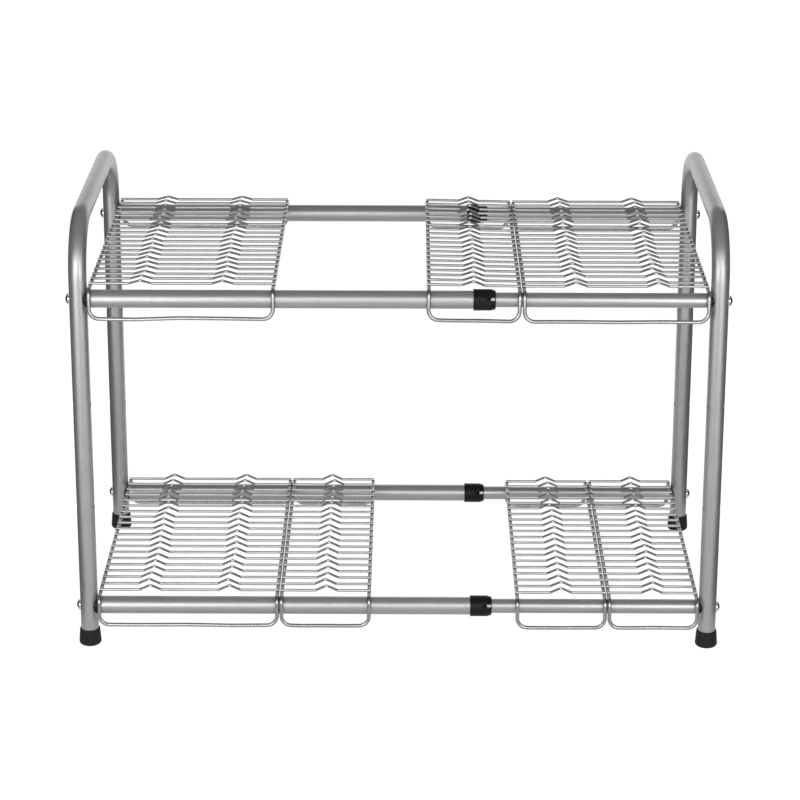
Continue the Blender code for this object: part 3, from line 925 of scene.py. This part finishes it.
def seen_share(tree):
    """1 for rays from the camera and for mirror and glass rays, which see the white backdrop."""
    path = tree.nodes.new("ShaderNodeLightPath")
    total = path.outputs["Is Camera Ray"]
    for name in ("Is Glossy Ray", "Is Transmission Ray"):
        node = tree.nodes.new("ShaderNodeMath")
        node.operation = "MAXIMUM"
        tree.links.new(total, node.inputs[0])
        tree.links.new(path.outputs[name], node.inputs[1])
        total = node.outputs["Value"]
    return total


def set_world():
    world = bpy.data.worlds.new("studio")
    bpy.context.scene.world = world
    world.use_nodes = True
    tree = world.node_tree
    mix = tree.nodes.new("ShaderNodeMix")
    mix.data_type = "RGBA"
    set_inputs(mix, {"A": (*grey(AMBIENT_TONE), 1), "B": WHITE})
    tree.links.new(seen_share(tree), mix.inputs["Factor"])
    tree.links.new(mix.outputs["Result"], tree.nodes["Background"].inputs["Color"])


def set_floor():
    shape = bmesh.new()
    squares = {"x_segments": FLOOR_SQUARES, "y_segments": FLOOR_SQUARES}
    bmesh.ops.create_grid(shape, size=FLOOR_SIZE / 2, **squares)
    floor = new_object("floor", finish_mesh("floor", shape))
    material, tree, shader = new_material("floor_white")
    set_inputs(shader, {"Base Color": (*grey(FLOOR_TONE), 1), "Roughness": FLOOR_ROUGHNESS})
    set_inputs(shader, {"Specular IOR Level": 0, "Emission Color": WHITE})
    glow = tree.nodes.new("ShaderNodeMath")
    glow.operation = "MULTIPLY"
    glow.inputs[1].default_value = FLOOR_GLOW
    tree.links.new(seen_share(tree), glow.inputs[0])
    tree.links.new(glow.outputs["Value"], shader.inputs["Emission Strength"])
    floor.data.materials.append(material)


def softbox(name, place, target, width, height, brightness):
    """A soft rectangular light that faces its target."""
    data = bpy.data.lights.new(name, "AREA")
    data.shape = "RECTANGLE"
    data.size = width
    data.size_y = height
    data.energy = brightness * math.pi * width * height
    light = new_object(name, data)
    light.location = place
    heading = Vector(target) - light.location
    light.rotation_euler = heading.to_track_quat("-Z", "Y").to_euler()
    light.visible_camera = False


def flag(name, corners, brightness):
    """A card that only reflections see, as a studio uses to outline bright metal."""
    shape = bmesh.new()
    shape.faces.new([shape.verts.new(corner) for corner in corners])
    card = new_object(name, finish_mesh(name, shape))
    material, _, shader = new_material(name)
    set_inputs(shader, {"Base Color": BLACK, "Roughness": 1, "Specular IOR Level": 0})
    set_inputs(shader, {"Emission Color": WHITE, "Emission Strength": brightness})
    card.data.materials.append(material)
    card.visible_camera = False
    card.visible_diffuse = False
    card.visible_shadow = False
    card.visible_transmission = False


def make_pieces():
    paint = metal_paint("silver_paint", tone=0.42, roughness=0.36, metallic=0.65)
    rubbed_paint = metal_paint(
        "rubbed_silver_paint", tone=0.44, roughness=0.32, metallic=0.7, streaks=0.08
    )
    wire = bright_plate("wire_plate", tone=0.38, roughness=(0.24, 0.30))
    cross_wire = bright_plate("cross_wire_plate", tone=0.54, roughness=(0.41, 0.47))
    # A dark copy of the wire plating: painted shade on the hump flanks and the weld beads
    painted_shade_wire = bright_plate("painted_shade_wire_plate", tone=0.17, roughness=(0.24, 0.36))
    chrome = bright_plate("chrome_plate", tone=0.84, roughness=(0.05, 0.14))
    # Near black: painted shade on the walls of the cross holes
    hole_shade = moulded_black(
        "painted_hole_shade", tone=0.008, roughness=(0.6, 0.8), grain=(900, 0.1)
    )
    plastic = moulded_black(
        "black_plastic", tone=0.009, roughness=(0.32, 0.46), grain=(1500, 0.12)
    )
    rubber = moulded_black(
        "black_rubber", tone=0.018, roughness=(0.50, 0.66), grain=(900, 0.20), dust=0.6
    )
    makers = {
        "side_frame": (side_frame, paint, hole_shade),
        "outer_tube": (bar_tube, paint, TUBE_WALL),
        "inner_tube": (bar_tube, rubbed_paint, INNER_TUBE_WALL),
        "sleeve": (sleeve, plastic),
        "end_plug": (end_plug, plastic),
        "screw": (screw, chrome),
        "foot": (foot, rubber),
        "panel": (panel, wire, cross_wire, painted_shade_wire),
    }
    for node in frame["nodes"]:
        make, *settings = next(maker for kind, maker in makers.items() if node.endswith(kind))
        make(node, *settings)


def set_stage():
    set_camera()
    set_world()
    set_floor()
    for name, settings in LIGHTS.items():
        softbox(name, *settings)
    for name, settings in FLAGS.items():
        flag(name, *settings)
    bpy.context.scene.view_settings.view_transform = "Standard"


make_pieces()
set_stage()
